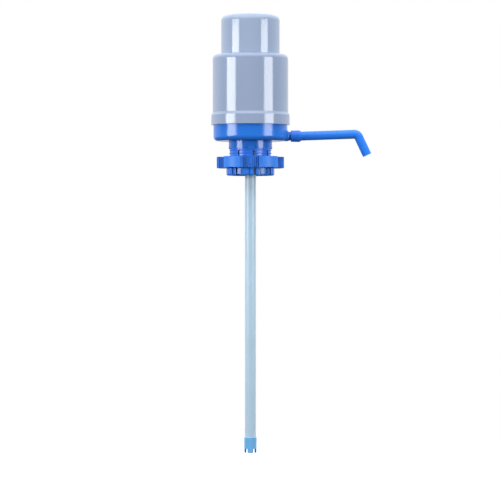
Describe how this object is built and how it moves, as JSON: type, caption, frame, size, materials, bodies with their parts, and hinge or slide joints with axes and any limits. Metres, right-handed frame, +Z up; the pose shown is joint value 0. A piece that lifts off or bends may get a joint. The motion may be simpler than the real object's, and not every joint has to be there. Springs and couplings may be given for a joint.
{
  "type": "water jug hand pump",
  "caption": "Air-pressure hand pump that clamps on a water jug's neck: press button, ribbed clamp nut, swivelling spout and a long dip tube.",
  "frame": {"origin": "on the pump's axis, in the underside of the neck gasket, where the rim of the jug's neck seats", "axes": "+Z up the pump's axis towards the press button, +X along the spout, +Y to the back"},
  "size_m": [0.2332, 0.1146, 0.6381],
  "materials": {
    "grey_abs": "glossy moulded plastic",
    "blue_abs": "glossy moulded plastic",
    "white_eva": "soft satin plastic",
    "natural_pp": "satin moulded plastic",
    "seal_silicone": "matt silicone",
    "screw_steel": "bright zinc",
    "milky_tube": "milky, lets light through",
    "sky_foot": "glossy moulded plastic"
  },
  "bodies": {
    "pump": {"housing": "grey_abs", "bellows": "white_eva", "clamp_ring": "natural_pp", "valve_deck": "natural_pp", "deck_seal": "seal_silicone", "deck_screws": "screw_steel", "base": "blue_abs", "neck_gasket": "seal_silicone", "collet": "blue_abs", "spout_seal": "seal_silicone", "tube_seal": "seal_silicone", "dip_tube_upper": "milky_tube", "dip_tube_middle": "milky_tube", "dip_tube_lower": "milky_tube", "tube_foot": "sky_foot"},
    "button": {"press_button": "grey_abs", "bellows_plate": "natural_pp", "plate_screws": "screw_steel"},
    "intake_disc": {"intake_valve": "seal_silicone"},
    "discharge_disc": {"discharge_valve": "seal_silicone"},
    "nut": {"clamp_nut": "blue_abs"},
    "spout_arm": {"spout": "blue_abs"}
  },
  "joints": [
    {"name": "press", "type": "slide", "parent": "pump", "child": "button", "axis": [0, 0, -1], "range_m": [0, 0.048], "stiffness_N_per_m": 300, "springref_m": -0.02, "deforming": ["bellows"]},
    {"name": "intake_lift", "type": "slide", "parent": "button", "child": "intake_disc", "axis": [0, 0, -1], "range_m": [0, 0.0015], "stiffness_N_per_m": 40, "springref_m": -0.002},
    {"name": "discharge_lift", "type": "slide", "parent": "pump", "child": "discharge_disc", "axis": [0, 0, -1], "range_m": [0, 0.0015], "stiffness_N_per_m": 40, "springref_m": -0.002},
    {"name": "nut_turn", "type": "hinge", "parent": "pump", "child": "nut", "pos_m": [0, 0, -0.018], "axis": [0, 0, 1], "range_deg": [0, 900]},
    {"name": "spout_swivel", "type": "hinge", "parent": "pump", "child": "spout_arm", "pos_m": [0.0645, 0, 0.0195], "axis": [1, 0, 0], "continuous": true}
  ]
}
